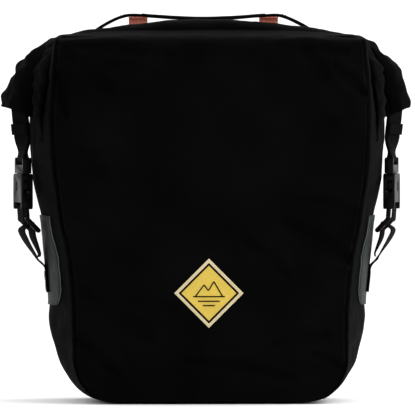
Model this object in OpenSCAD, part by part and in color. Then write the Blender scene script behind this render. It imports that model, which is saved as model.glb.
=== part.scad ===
// Roll-top bicycle pannier bag with rack hooks. Millimetres, +Z up.
// The front faces -Y. The origin is on the floor, at the middle of the bag's depth.

/* [Bag] */
// Depth of the bag, front panel to back panel
bag_d = 160; // [150:1:180]
// Half width of the bag at the widest point, under the rolled ends
bag_half_w = 181; // [178:1:183]
// Radius of the two bottom corners
corner_r = 50; // [40:1:55]
// Thickness of the padded fabric walls
wall = 3; // [2:0.5:4]
// Height of the front panel
front_h = 368; // [366:1:370]
// Side of the square label
label_side = 50; // [35:1:60]

/* [Roll closure] */
// Width of the flattened roll, front to back
roll_d = 60; // [48:1:80]
// Height of the top of the roll
roll_h = 395; // [394:1:396]
// Height where the rolled ends stop
wing_z = 299.7; // [296:0.1:302]

/* [Webbing] */
// Width of the black webbing
webbing_w = 25; // [20:1:25]
// Thickness of one layer of black webbing
webbing_t = 1.6; // [1.2:0.1:1.7]
// Width of the red pull tabs
tab_w = 20; // [16:1:20]

/* [Rack hooks] */
// Distance from the middle to each hook
hook_x = 68; // [64:1:72]
// Radius of the rack tube that a hook holds
tube_r = 8; // [7.5:0.1:8]
// Width of one hook
hook_w = 45; // [44:1:48]
// Half length of the upper rail
rail_half = 112; // [108:1:114]

/* [Side buckles] */
// Distance from the middle to each buckle
buckle_x = 190; // [189.5:0.1:191]
// Turn of the buckles towards the front, in degrees
buckle_yaw = 14; // [0:1:15]

/* [Hidden] */
$fn = 48;

// Bag walls
half_d = bag_d / 2;
gusset_top = 345;
// Half outline of the bag above the corner: half width, height
side_pts = [
    [150, corner_r], [160, 95], [167, 160], [176, 225],
    [bag_half_w, 280], [172, 300], [164, gusset_top]
];
liner_gap = 1;
liner_t = 1;
liner_back_y = half_d - 14;
liner_front_y = -half_d + wall + liner_gap;
base_split = 118;

// Back plate and fasteners
plate_t = 3;
plate_half_w = 140;
plate_z = [60, 366];
plate_y = half_d - wall - plate_t;
screw_r = 2.5;
screw_hole_r = 2.7;

// Rails, measured from the outer face of the back panel
rail_depth = 10;
rail_h = 30;
rail_z = 351;
low_rail_z = 95;
low_rail_half = 75;
rail_face = half_d + rail_depth;
rail_base = 3;
lip_t = 2.2;
rail_screw_x = 99;
low_screw_x = 60;
fit_gap = 0.3;

// Hooks: places measured from the rail's face (u) and up (z)
tube_u = 19.5;
tube_z = 328;
hook_wall = 4.5;
pivot_u = 16;
pivot_z = 345;
pull_u = 4.8;
pull_z = 343;
pull_bar_r = 1.5;
latch_w = 26;
latch_slot = latch_w + 0.8;
pin_r = 2;
hub_r = 4.5;
spring_w = 5;
hook_screw_z = 354.6;
hook_screw_off = 17.5;

// Handle
handle_z = 398;
handle_half = 78;
handle_end = [128, 352];
anchor_z = 350;
handle_bar_r = 2.5;
handle_lift = 5.2;
strap_y = rail_face + 7.6;

// Side buckles: heights measured from the buckle's middle
buckle_z = 224.5;
buckle_w = 33;
bar_r = 2;
bar_z = 24.5;
mouth_z = 10;
lock_c = [-6.5, -42.5];
lock_pitch = 8;
lock_tilt = 45;
lock_bar_r = 1.7;

function hw(z) = lookup(z, [for (p = side_pts) [p[1], p[0]]]);

// Right half of the outline, drawn t inside the outer face, from the floor up to the gusset's top
function right_outline(t) = concat(
    [for (a = [-90 : 10 : 0])
        [side_pts[0][0] - corner_r + (corner_r - t) * cos(a), corner_r + (corner_r - t) * sin(a)]],
    [for (i = [1 : len(side_pts) - 1]) [side_pts[i][0] - t, side_pts[i][1]]]
);

// The same list read backwards on the left
function mirrored(pts) = [for (i = [len(pts) - 1 : -1 : 0]) [-pts[i][0], pts[i][1]]];

function bag_outline(t) = concat(right_outline(t), mirrored(right_outline(t)));

// Turns a drawing in X and Z into a slab from y0 to y1
module slab(y0, y1) {
    translate([0, y1, 0])
        rotate([90, 0, 0])
            linear_extrude(y1 - y0) children();
}

// Turns a drawing in Y and Z into a slab along X, w wide, centred on x
module across(x, w) {
    translate([x - w / 2, 0, 0])
        rotate([90, 0, 90])
            linear_extrude(w) children();
}

module at_right() {
    children();
}

module at_left() {
    mirror([1, 0, 0]) children();
}

function unit(v) = v / norm(v);
function side_of(v) = [-v[1], v[0]];

// Point i of a line through pts that runs d beside it
function beside(pts, i, d) =
    let (last = len(pts) - 1,
         a = side_of(unit(pts[max(i, 1)] - pts[max(i, 1) - 1])),
         b = side_of(unit(pts[min(i, last - 1) + 1] - pts[min(i, last - 1)])),
         m = unit(a + b))
    pts[i] + m * d / (m * a);

// A flat band of thickness t that follows the points
module strip(pts, t) {
    last = len(pts) - 1;
    polygon(concat([for (i = [0 : last]) beside(pts, i, t / 2)],
                   [for (i = [last : -1 : 0]) beside(pts, i, -t / 2)]));
}

// A strip of webbing sewn into a loop round two bars
module band_loop(a, b, r_in, t) {
    run = b - a;
    difference() {
        long_slot(a, run, r_in + t);
        long_slot(a, run, r_in);
    }
}

module long_slot(a, run, r) {
    translate(a)
        rotate(atan2(run[1], run[0])) {
            circle(r);
            translate([norm(run), 0]) circle(r);
            translate([0, -r]) square([norm(run), 2 * r]);
        }
}

module rounded_rect(w, h, r) {
    translate([-w / 2 + r, -h / 2]) square([w - 2 * r, h]);
    translate([-w / 2, -h / 2 + r]) square([w, h - 2 * r]);
    for (x = [-1, 1], y = [-1, 1])
        translate([x * (w / 2 - r), y * (h / 2 - r)]) circle(r);
}

// A cylinder along +Y from y0 to y1
module rod_y(x, z, r, y0, y1) {
    translate([x, y1, z]) rotate([90, 0, 0]) cylinder(r = r, h = y1 - y0);
}

// A cylinder along X, centred on x
module rod_x(x, y, z, r, w) {
    translate([x - w / 2, y, z]) rotate([0, 90, 0]) cylinder(r = r, h = w);
}

// Every screw that goes through the back panel: x, z
function back_screws() = concat(
    [for (x = [-rail_screw_x, 0, rail_screw_x]) [x, rail_z]],
    [for (x = [-low_screw_x, low_screw_x]) [x, low_rail_z]]
);

// Places of the two rivets of a handle anchor
function anchor_holes() = [for (s = [-1, 1], dz = [-9, 9]) [s * handle_end[0], anchor_z + dz]];

module back_holes(y0, y1) {
    for (p = back_screws()) rod_y(p[0], p[1], screw_hole_r, y0, y1);
    for (p = anchor_holes()) rod_y(p[0], p[1], 2.1, y0, y1);
}

// Bag shell ---------------------------------------------------------------

top_half_w = 157;

module wall_outline() {
    polygon(concat(
        right_outline(0), [[top_half_w, front_h - 6], [top_half_w - 8, front_h]],
        mirrored(concat(right_outline(0), [[top_half_w, front_h - 6], [top_half_w - 8, front_h]]))
    ));
}

// Fabric that slopes from the top of a panel to the roll; side is -1 in front, 1 behind
module shoulder(side) {
    rise = 14;
    y0 = side * half_d;
    y1 = side * (roll_d / 2 + 0.3);
    across(0, 2 * top_half_w - 16)
        polygon([[y0, front_h - wall], [y1, front_h - wall + rise], [y1, front_h + rise], [y0, front_h]]);
}

module front_panel() {
    color("#16171a") {
        slab(-half_d, -half_d + wall) wall_outline();
        shoulder(-1);
    }
}

module back_panel() {
    color("#141517") {
        difference() {
            slab(half_d - wall, half_d) wall_outline();
            back_holes(half_d - wall - 1, half_d + 1);
        }
        shoulder(1);
    }
}

module wall_ring() {
    slab(-half_d + wall, half_d - wall)
        difference() {
            polygon(bag_outline(0));
            polygon(concat([for (p = right_outline(wall)) p[1] >= gusset_top ? p + [0, 1] : p],
                           [for (p = mirrored(right_outline(wall))) p[1] >= gusset_top ? p + [0, 1] : p]));
        }
}

module gusset() {
    color("#1a1b1e")
        intersection() {
            wall_ring();
            translate([base_split, -half_d, -1]) cube([bag_half_w, bag_d, gusset_top + 2]);
        }
}

module base_panel() {
    color("#101113")
        intersection() {
            wall_ring();
            translate([-base_split, -half_d, -1]) cube([2 * base_split, bag_d, corner_r]);
        }
}

module inner_liner() {
    outer = wall + liner_gap;
    inner = outer + liner_t;
    color("#8f959b")
        difference() {
            slab(liner_front_y, liner_back_y) polygon(bag_outline(outer));
            slab(liner_front_y + liner_t, liner_back_y - liner_t)
                polygon(concat(
                    [for (p = right_outline(inner)) p[1] >= gusset_top ? p + [0, 1] : p],
                    [for (p = mirrored(right_outline(inner))) p[1] >= gusset_top ? p + [0, 1] : p]));
        }
}

module base_board() {
    board_t = 3;
    color("#2b2d30")
        translate([-103, liner_front_y + 2, wall + liner_gap + liner_t + 0.3])
            cube([206, liner_back_y - liner_front_y - 4, board_t]);
}

module back_plate() {
    mid_z = (plate_z[0] + plate_z[1]) / 2;
    color("#24262a")
        difference() {
            slab(plate_y, plate_y + plate_t)
                translate([0, mid_z]) rounded_rect(2 * plate_half_w, plate_z[1] - plate_z[0], 25);
            back_holes(plate_y - 1, plate_y + plate_t + 1);
        }
}

// The rolled mouth: a flattened roll over the top, bent down at both ends
module rolled_collar() {
    outer = [[211, wing_z], [210.5, 312], [204, 333], [196, 350], [184, 366], [166, 376],
             [140, 382], [88, 389.5], [40, 394], [0, roll_h]];
    inner = [[0, 366], [88, 362], [150, 355], [168, 348], [177, 335], [182.5, 315], [183.5, wing_z]];
    half = concat(outer, inner);
    color("#17181b")
        difference() {
            slab(-roll_d / 2, roll_d / 2) {
                polygon(half);
                mirror([1, 0]) polygon(half);
            }
            slab(-stiff_w / 2 - 0.5, roll_d / 2 + 1) strip(stiff_pts, stiff_t + 1);
        }
}

stiff_w = 40;
stiff_t = 1.5;
stiff_pts = [[-131, 368.5], [-80, 375], [0, 380], [80, 375], [131, 368.5]];

module mouth_stiffener() {
    color("#303338")
        slab(-stiff_w / 2, stiff_w / 2)
            intersection() {
                strip(stiff_pts, stiff_t);
                translate([-130, 0]) square([260, roll_h]);
            }
}

module front_label() {
    label_z = 114;
    label_t = 1.2;
    color("#e0c64e")
        slab(-half_d - label_t, -half_d)
            translate([0, label_z]) rotate(45) square(label_side, center = true);
}

// Side patch, sewn on the outside of a gusset
patch_z = [100, 192];
patch_w = 70;
patch_t = 1.4;

module side_patch() {
    low = 118;
    color("#4c564f")
        intersection() {
            slab(-patch_w / 2, patch_w / 2)
                difference() {
                    polygon([for (z = [patch_z[0], 160, patch_z[1]]) [hw(z) + patch_t, z],
                             for (z = [patch_z[1], 160, patch_z[0]]) [hw(z) - 1, z]]);
                    polygon(bag_outline(-0.02));
                }
            across(hw(160), 60) {
                translate([0, low]) circle(18);
                translate([-patch_w / 2, low]) square([patch_w, patch_z[1] - low]);
                for (s = [-1, 1]) translate([s * 17, low]) circle(18);
                translate([-17, patch_z[0]]) square([34, 20]);
            }
        }
}

// Side buckles and straps -------------------------------------------------

// Places a part of the right chain: x outwards, y along the bag, z up from the buckle's middle
module chain() {
    translate([buckle_x, 0, buckle_z]) rotate([0, 0, -buckle_yaw]) children();
}

module upper_webbing() {
    loop_top = bar_z + 14;
    top = wing_z - buckle_z - 0.3;
    color("#1b1c1f")
        chain()
            slab(-webbing_w / 2, webbing_w / 2) {
                difference() {
                    union() {
                        band_loop([0, bar_z], [0, bar_z + 2], bar_r + fit_gap, webbing_t);
                        strip([[0, bar_z + 5], [0, loop_top], [1.5, top]], 2 * webbing_t);
                    }
                    long_slot([0, bar_z], [0, 2], bar_r + fit_gap);
                    translate([-20, top]) square([40, 10]);
                }
            }
}

module male_buckle() {
    arm_x = 6.6;
    color("#26282b")
        chain() {
            difference() {
                across(0, 9)
                    translate([0, (mouth_z + bar_z) / 2 + 0.3])
                        rounded_rect(buckle_w, bar_z + 2 - mouth_z - 0.6 + 2, 3.5);
                across(0, 20) translate([0, bar_z + 1]) square([26, 13], center = true);
                translate([-20, -20, -20]) cube([40, 40, 20 + mouth_z + 0.3]);
            }
            translate([0, 13.6, bar_z]) rotate([90, 0, 0]) cylinder(r = bar_r, h = 27.2);
            translate([-arm_x / 2, -2.5, -12]) cube([arm_x, 5, 12 + mouth_z + 1]);
            for (s = [-1, 1])
                across(0, arm_x)
                    scale_y(s)
                        polygon([[9.6, mouth_z + 1], [12.4, mouth_z + 1], [11.8, 3], [13, 1],
                                 [13, -3], [10.8, -8], [9.2, -8]]);
        }
}

// Mirrors a drawing across its second axis when s is -1
module scale_y(s) {
    if (s < 0) mirror([1, 0]) children();
    else children();
}

module female_buckle() {
    cavity_x = 7.2;
    cavity_w = 26.4;
    color("#1e2022")
        chain() {
            difference() {
                across(0, 12)
                    translate([0, (mouth_z - bar_z - 2) / 2])
                        rounded_rect(buckle_w, mouth_z + bar_z + 2, 4);
                translate([-cavity_x / 2, -cavity_w / 2, -15]) cube([cavity_x, cavity_w, 40]);
                translate([-cavity_x / 2, -20, -9.5]) cube([cavity_x, 40, 12.5]);
                translate([-20, -13, -bar_z - 5.5]) cube([40, 26, 10.5]);
                for (s = [-1, 1])
                    translate([s * 6.6, 0, -3]) rotate([90, 0, 90])
                        cylinder(r = 5, h = 2, center = true);
            }
            translate([0, 13.6, -bar_z]) rotate([90, 0, 0]) cylinder(r = bar_r, h = 27.2);
        }
}

function lock_bar(i) = lock_c + i * lock_pitch * [sin(lock_tilt), cos(lock_tilt)];

module link_loop() {
    color("#1b1c1f")
        chain()
            slab(-webbing_w / 2, webbing_w / 2)
                band_loop([0, -bar_z], lock_bar(1), bar_r + fit_gap, webbing_t - 0.4);
}

module ladder_lock() {
    side_t = 3;
    color("#26282b")
        chain() {
            for (i = [-1 : 1])
                translate([lock_bar(i)[0], 13.6, lock_bar(i)[1]]) rotate([90, 0, 0])
                    cylinder(r = lock_bar_r, h = 27.2);
            for (y = [-webbing_w / 2 - 0.5 - side_t, webbing_w / 2 + 0.5])
                slab(y, y + side_t)
                    long_slot(lock_bar(-1), lock_bar(1) - lock_bar(-1), 2.4);
        }
}

module lower_webbing() {
    anchor = [-19.5, -84];
    foot_z = [112, 138];
    color("#1b1c1f") {
        chain()
            slab(-webbing_w / 2, webbing_w / 2)
                difference() {
                    union() {
                        translate(lock_c) circle(lock_bar_r + fit_gap + webbing_t);
                        strip([lock_c + [2.2, -1.6], [1.2, -48.5], anchor], webbing_t);
                        strip([lock_c + [-1, -2.6], [-10.5, -53], [-17.6, -75]], webbing_t);
                    }
                    translate(lock_c) circle(lock_bar_r + fit_gap);
                }
        slab(-webbing_w / 2, webbing_w / 2)
            strip([[hw(foot_z[0]) + 2.6, foot_z[0]], [hw(foot_z[1]) + 2.8, foot_z[1]],
                   [buckle_x + anchor[0] + 1.2, buckle_z + anchor[1] + 1.5]], webbing_t);
    }
}

// Rails and their fasteners -----------------------------------------------

module rail_profile(z) {
    cavity_h = rail_h - 5;
    mouth_h = 16;
    translate([half_d, z])
        difference() {
            translate([0, -rail_h / 2]) square([rail_depth, rail_h]);
            translate([rail_base, -cavity_h / 2]) square([rail_depth - rail_base - lip_t, cavity_h]);
            translate([rail_base, -mouth_h / 2]) square([rail_depth, mouth_h]);
        }
}

// The part of a hook or slider that runs in the rail
module foot(x, z, w) {
    cavity_h = rail_h - 5 - 2 * fit_gap;
    mouth_h = 16 - 2 * fit_gap;
    across(x, w) {
        translate([half_d + rail_base + fit_gap, z - cavity_h / 2])
            square([rail_depth - rail_base - lip_t - 2 * fit_gap, cavity_h]);
        translate([half_d + rail_base + fit_gap, z - mouth_h / 2])
            square([rail_depth - rail_base, mouth_h]);
    }
}

module upper_rail() {
    color("#6d7175")
        difference() {
            across(0, 2 * rail_half) rail_profile(rail_z);
            back_holes(half_d - 1, half_d + rail_base + 1);
        }
}

module lower_rail() {
    color("#6d7175")
        difference() {
            across(0, 2 * low_rail_half) rail_profile(low_rail_z);
            back_holes(half_d - 1, half_d + rail_base + 1);
        }
}

module rail_screws() {
    head_y = half_d + rail_base;
    color("#b5b8bb")
        for (p = back_screws())
            difference() {
                union() {
                    rod_y(p[0], p[1], screw_r, plate_y - 6.5, head_y + 0.1);
                    rod_y(p[0], p[1], 4.6, head_y, head_y + 2.6);
                }
                rod_y(p[0], p[1], 1.6, head_y + 1, head_y + 4);
            }
}

module rail_washers() {
    color("#b5b8bb")
        for (p = back_screws())
            difference() {
                rod_y(p[0], p[1], 6.5, plate_y - 1.2, plate_y);
                rod_y(p[0], p[1], screw_hole_r, plate_y - 2, plate_y + 1);
            }
}

module rail_nuts() {
    color("#9fa3a6")
        for (p = back_screws())
            difference() {
                translate([p[0], plate_y - 1.2, p[1]]) rotate([90, 0, 0]) cylinder(r = 4.5, h = 4, $fn = 6);
                rod_y(p[0], p[1], screw_r + 0.03, plate_y - 7, plate_y);
            }
}

// Rack hooks --------------------------------------------------------------

hook_plate_t = 4;

module hook_profile() {
    outer_r = tube_r + hook_wall;
    head_top = 350;
    translate([rail_face, 0])
        difference() {
            union() {
                translate([fit_gap, 318]) square([hook_plate_t, 48]);
                translate([fit_gap, tube_z]) square([tube_u - fit_gap, head_top - tube_z]);
                translate([fit_gap, 318]) square([tube_u - tube_r - fit_gap, 12]);
                intersection() {
                    translate([tube_u, tube_z]) circle(outer_r);
                    translate([tube_u - 1, tube_z]) square([outer_r + 1, outer_r]);
                }
                translate([tube_u - 1, tube_z + 6])
                    square([5, head_top - tube_z - 6]);
                translate([tube_u + tube_r, tube_z - 6]) square([hook_wall, 6.1]);
                translate([tube_u + tube_r + 2.6, tube_z - 6]) circle(hook_wall - 2.6);
            }
            translate([tube_u, tube_z]) circle(tube_r);
            translate([tube_u - tube_r, 300]) square([2 * tube_r, tube_z - 300]);
        }
}

// The latch's slot, which leaves a thin saddle over the tube
module latch_slot_profile(slot_end) {
    saddle_r = tube_r + 3.3;
    saddle_u = tube_u - 6;
    translate([rail_face, 0])
        difference() {
            translate([0, 300]) square([slot_end, 100]);
            intersection() {
                translate([tube_u, tube_z]) circle(saddle_r);
                translate([saddle_u, tube_z]) square(2 * saddle_r);
            }
        }
}

module hook(x) {
    slot_end = pivot_u + hub_r + 1.5;
    color("#1c1d20") {
        difference() {
            across(x, hook_w) hook_profile();
            across(x, latch_slot) latch_slot_profile(slot_end);
            rod_x(x, rail_face + pivot_u, pivot_z, pin_r, hook_w + 2);
            for (s = [-1, 1]) rod_y(x + s * hook_screw_off, hook_screw_z, 2.05, rail_face, rail_face + 8);
        }
        difference() {
            foot(x, rail_z, hook_w);
            for (s = [-1, 1])
                rod_y(x + s * hook_screw_off, hook_screw_z, 2.05, half_d, rail_face + 8);
        }
    }
}

module hook_screws() {
    head_y = rail_face + fit_gap + hook_plate_t;
    color("#b5b8bb")
        for (x = [-hook_x, hook_x], s = [-1, 1])
            difference() {
                union() {
                    rod_y(x + s * hook_screw_off, hook_screw_z, 2, half_d + rail_base + 0.5, head_y + 0.1);
                    rod_y(x + s * hook_screw_off, hook_screw_z, 3.4, head_y, head_y + 2.4);
                }
                rod_y(x + s * hook_screw_off, hook_screw_z, 1.2, head_y + 1, head_y + 4);
            }
}

// Latch: closes the hook's mouth under the tube, and is pulled open by the red tab
module latch(x) {
    ear_t = 2.6;
    finger_z = [312, 317];
    color("#3a3c40")
        translate([0, rail_face, 0]) {
            difference() {
                union() {
                    across(x, latch_w) {
                        polygon([[6, finger_z[0]], [20, finger_z[0]], [22, 314], [22, finger_z[1]],
                                 [10.5, finger_z[1]], [10.5, 334], [13.5, 341], [9.6, 343.5],
                                 [9.2, 339.5], [6, 335.5]]);
                        translate([pivot_u, pivot_z]) circle(hub_r);
                        polygon([[9.4, 341], [17, 341], [15.5, 349.3], [9.4, 345]]);
                    }
                    for (s = [-1, 1])
                        across(x + s * (latch_w - ear_t) / 2, ear_t) {
                            translate([pull_u, pull_z]) circle(3);
                            polygon([[pull_u, 340], [12, 340], [12, 346], [pull_u, 346]]);
                        }
                    rod_x(x, pull_u, pull_z, pull_bar_r, latch_w - 1);
                }
                rod_x(x, pivot_u, pivot_z, pin_r + 0.05, latch_w + 2);
                translate([x + latch_w / 2 - spring_w, pivot_u - 5.2, pivot_z - 5.2])
                    cube([spring_w + 1, 10.4, 10.4]);
            }
        }
}

module latch_pin(x) {
    color("#b5b8bb") rod_x(x, rail_face + pivot_u, pivot_z, pin_r, hook_w);
}

// Torsion spring round the latch pin, beside the latch's hub
module latch_spring(x) {
    wire_r = 0.5;
    coil_r = 3.1;
    turns = 3;
    pitch = 1.5 * wire_r;
    x0 = x + latch_w / 2 - spring_w + 1.2;
    color("#c3c6c8")
        translate([x0, rail_face + pivot_u, pivot_z]) {
            for (i = [0 : turns - 1])
                translate([i * pitch, 0, 0]) rotate([0, 90, 0])
                    rotate_extrude() translate([coil_r, 0]) circle(wire_r);
            translate([(turns - 1) * pitch, -coil_r, 0]) cylinder(r = wire_r * 0.9, h = 5);
            translate([0, coil_r, 0]) cylinder(r = wire_r * 0.9, h = 4.6);
        }
}

// Red webbing from the latch's bar up to the handle
module pull_tab(x) {
    ring_in = pull_bar_r + 0.4;
    tab_t = 1.5;
    under = handle_z - webbing_t;
    color("#c85a48")
        across(x, tab_w)
            translate([rail_face + pull_u, 0]) {
                difference() {
                    union() {
                        translate([0, pull_z]) circle(ring_in + tab_t);
                        translate([-tab_t, pull_z]) square([2 * tab_t, under - pull_z]);
                        translate([-9, under - tab_t]) square([18, tab_t]);
                    }
                    translate([0, pull_z]) circle(ring_in);
                }
            }
}

// Carry handle: two layers of webbing with a long loop round a bar at each end, so that it can lift
module carry_handle() {
    t = 2 * webbing_t;
    z_mid = handle_z;
    half = [[0, z_mid], [handle_half, z_mid], [108, 386], [123, 370], handle_end + [-0.5, 4]];
    pts = concat([for (i = [len(half) - 1 : -1 : 1]) [-half[i][0], half[i][1]]], half);
    color("#1b1c1f")
        slab(strap_y - webbing_w / 2, strap_y + webbing_w / 2)
            difference() {
                union() {
                    strip(pts, t);
                    for (s = [-1, 1]) end_loop(s, handle_bar_r + fit_gap + webbing_t + 0.4);
                }
                for (s = [-1, 1]) end_loop(s, handle_bar_r + fit_gap);
            }
}

module end_loop(s, r) {
    long_slot([s * handle_end[0], handle_end[1]], [0, -handle_lift], r);
}

module handle_anchor() {
    plate = 3;
    bar_end = strap_y + webbing_w / 2 + 3;
    color("#26282b") {
        difference() {
            slab(half_d, half_d + plate)
                translate([handle_end[0], anchor_z]) rounded_rect(15, 28, 5);
            back_holes(half_d - 1, half_d + plate + 1);
        }
        rod_y(handle_end[0], handle_end[1], handle_bar_r, half_d + plate - 0.1, bar_end);
        rod_y(handle_end[0], handle_end[1], 6, bar_end - 2, bar_end);
    }
}

module anchor_rivets() {
    color("#b5b8bb")
        for (p = anchor_holes()) {
            rod_y(p[0], p[1], 2, plate_y - 0.1, half_d + 3.1);
            rod_y(p[0], p[1], 3.2, half_d + 3, half_d + 4.2);
            rod_y(p[0], p[1], 3.6, plate_y - 1.4, plate_y);
        }
}

// Lower hook --------------------------------------------------------------

slider_w = 28;
swivel_r = 4;
low_plate_y = rail_face + 2.8;
low_plate_t = 4;

module lower_slider() {
    color("#1c1d20") {
        foot(0, low_rail_z, slider_w);
        rod_y(0, low_rail_z, 13, rail_face + fit_gap, rail_face + 2.5);
        rod_y(0, low_rail_z, swivel_r, rail_face + 2.4, low_plate_y + low_plate_t + fit_gap);
    }
}

module lower_pivot_cap() {
    y0 = low_plate_y + low_plate_t + fit_gap;
    color("#b5b8bb")
        difference() {
            rod_y(0, low_rail_z, 6, y0, y0 + 1.8);
            rod_y(0, low_rail_z, 1.6, y0 + 0.8, y0 + 4);
        }
}

low_tube_y = low_plate_y + low_plate_t + tube_r;
low_hook_h = 22;
low_hook_drop = 40;

module lower_hook() {
    outer_r = tube_r + 3.6;
    color("#1c1d20")
        difference() {
            union() {
                rod_y(0, low_rail_z, 12, low_plate_y, low_plate_y + low_plate_t);
                translate([-9, low_plate_y, low_rail_z - low_hook_drop])
                    cube([18, low_plate_t, low_hook_drop]);
                translate([0, low_tube_y, low_rail_z - low_hook_drop])
                    cylinder(r = outer_r, h = low_hook_h);
            }
            rod_y(0, low_rail_z, swivel_r + 0.05, low_plate_y - 1, low_plate_y + low_plate_t + 1);
            translate([0, low_tube_y, low_rail_z - low_hook_drop - 1])
                cylinder(r = tube_r, h = low_hook_h + 2);
            translate([-20, low_plate_y - 10, low_rail_z - low_hook_drop - 1])
                cube([40, 10, low_hook_h + 2]);
            translate([-20, low_tube_y - 4, low_rail_z - low_hook_drop - 1])
                cube([20, tube_r + 4, low_hook_h + 2]);
        }
}

front_panel();
back_panel();
at_left() gusset();  // left_gusset
at_right() gusset();  // right_gusset
base_panel();
inner_liner();
base_board();
back_plate();
rolled_collar();
mouth_stiffener();
front_label();
at_left() side_patch();  // left_side_patch
at_right() side_patch();  // right_side_patch
at_left() upper_webbing();  // left_upper_webbing
at_right() upper_webbing();  // right_upper_webbing
at_left() male_buckle();  // left_male_buckle
at_right() male_buckle();  // right_male_buckle
at_left() female_buckle();  // left_female_buckle
at_right() female_buckle();  // right_female_buckle
at_left() link_loop();  // left_link_loop
at_right() link_loop();  // right_link_loop
at_left() ladder_lock();  // left_ladder_lock
at_right() ladder_lock();  // right_ladder_lock
at_left() lower_webbing();  // left_lower_webbing
at_right() lower_webbing();  // right_lower_webbing
upper_rail();
lower_rail();
rail_screws();
rail_washers();
rail_nuts();
hook(-hook_x);  // left_hook
hook(hook_x);  // right_hook
hook_screws();
latch(-hook_x);  // left_latch
latch(hook_x);  // right_latch
latch_pin(-hook_x);  // left_latch_pin
latch_pin(hook_x);  // right_latch_pin
latch_spring(-hook_x);  // left_latch_spring
latch_spring(hook_x);  // right_latch_spring
pull_tab(-hook_x);  // left_pull_tab
pull_tab(hook_x);  // right_pull_tab
carry_handle();
at_left() handle_anchor();  // left_handle_anchor
at_right() handle_anchor();  // right_handle_anchor
anchor_rivets();
lower_slider();
lower_hook();
lower_pivot_cap();
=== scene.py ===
import math

import bmesh
import bpy
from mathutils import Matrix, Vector, noise
from mathutils.bvhtree import BVHTree


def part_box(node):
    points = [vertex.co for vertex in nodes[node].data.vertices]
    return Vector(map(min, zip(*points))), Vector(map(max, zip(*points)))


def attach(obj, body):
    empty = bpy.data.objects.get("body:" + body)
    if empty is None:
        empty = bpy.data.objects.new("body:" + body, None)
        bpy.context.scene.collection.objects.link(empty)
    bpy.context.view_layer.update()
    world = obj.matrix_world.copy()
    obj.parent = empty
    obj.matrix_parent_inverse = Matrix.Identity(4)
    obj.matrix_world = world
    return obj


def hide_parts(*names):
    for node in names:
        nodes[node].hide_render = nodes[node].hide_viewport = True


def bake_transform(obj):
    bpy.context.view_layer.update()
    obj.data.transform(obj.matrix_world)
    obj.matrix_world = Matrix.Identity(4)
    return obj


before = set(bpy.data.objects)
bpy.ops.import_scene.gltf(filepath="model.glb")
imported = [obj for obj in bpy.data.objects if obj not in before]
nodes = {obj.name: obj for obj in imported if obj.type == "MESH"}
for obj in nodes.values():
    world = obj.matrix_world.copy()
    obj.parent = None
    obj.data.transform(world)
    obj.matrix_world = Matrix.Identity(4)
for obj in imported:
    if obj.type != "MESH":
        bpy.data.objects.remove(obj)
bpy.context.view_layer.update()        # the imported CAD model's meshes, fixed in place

MM = 0.001
SIDES = {"left": -1, "right": 1}

# ---- dimensions, in millimetres

FOLD_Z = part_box("front_panel")[1].z / MM - 14   # height where the panels fold back to the roll
WING_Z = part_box("rolled_collar")[0].z / MM      # lowest edge of the rolled ends
ROLL_HALF_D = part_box("rolled_collar")[1].y / MM

# Half width of the bag by height: its widest line, and the seams of the front and back panels
LOW_Z = 50              # height where the rounded bottom ends
SEAM_LIFT = 2.6         # height of the bottom seams
CORNER_R = 50
FRONT_CORNER_R = 38
SIDE_PROFILE = [(50, 150), (72, 157), (100, 161), (150, 166), (190, 170), (225, 179), (262, 183),
                (285, 184), (310, 181), (335, 175), (FOLD_Z, 167)]
FRONT_SEAM = [(50, 140), (90, 140), (125, 142), (155, 146), (182, 152.5), (220, 158), (255, 162),
              (300, 163), (345, 160.5), (FOLD_Z, 158.5)]
BACK_SEAM = [(50, 142), (100, 148), (150, 153), (220, 163), (280, 168), (320, 164), (FOLD_Z, 158)]

SEAM_LINES = {True: (FRONT_SEAM, FRONT_CORNER_R), False: (BACK_SEAM, CORNER_R)}     # True for the front

WEBBING = 25
WEB_T = 1.6
TWO_PI = 2 * math.pi
ALONG_X, ALONG_Y = Vector((1, 0, 0)), Vector((0, 1, 0))


def mm(x, y, z):
    """A point given in millimetres, in the frame's metres."""
    return Vector((x * MM, y * MM, z * MM))


def smooth(t):
    t = min(1, max(0, t))
    return t * t * (3 - 2 * t)


def lookup(z, table):
    """Value at height z of a table of (height, value), with straight spans between its rows."""
    if z <= table[0][0]:
        return table[0][1]
    for (z0, v0), (z1, v1) in zip(table, table[1:]):
        if z <= z1:
            return v0 + (v1 - v0) * (z - z0) / (z1 - z0)
    return table[-1][1]


def soft_lookup(z, table, reach=9):
    """The same, rounded off at the table's corners."""
    steps = [z + reach * (i - 2) / 2 for i in range(5)]
    return sum(lookup(s, table) for s in steps) / len(steps)


def spline(points, count):
    """count points along a smooth curve through the given ones, evenly spaced by length."""
    span_points = 24
    pts = [Vector(p) for p in points]
    ends = [pts[0] * 2 - pts[1]] + pts + [pts[-1] * 2 - pts[-2]]
    fine = []
    for a, b, c, d in zip(ends, ends[1:], ends[2:], ends[3:]):
        for i in range(span_points):
            t = i / span_points
            fine.append(0.5 * ((2 * b) + (c - a) * t + (2 * a - 5 * b + 4 * c - d) * t * t
                               + (3 * b - a - 3 * c + d) * t ** 3))
    fine.append(pts[-1])
    return resample(fine, count)


def resample(points, count):
    """count points evenly spaced along a line of points."""
    run = [0.0]
    for a, b in zip(points, points[1:]):
        run.append(run[-1] + (b - a).length)
    out, k = [], 0
    for i in range(count):
        s = run[-1] * i / (count - 1)
        while k < len(points) - 2 and run[k + 1] < s:
            k += 1
        gap = run[k + 1] - run[k]
        out.append(points[k].lerp(points[k + 1], (s - run[k]) / gap if gap > 0 else 0))
    return out


# ---- materials

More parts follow.
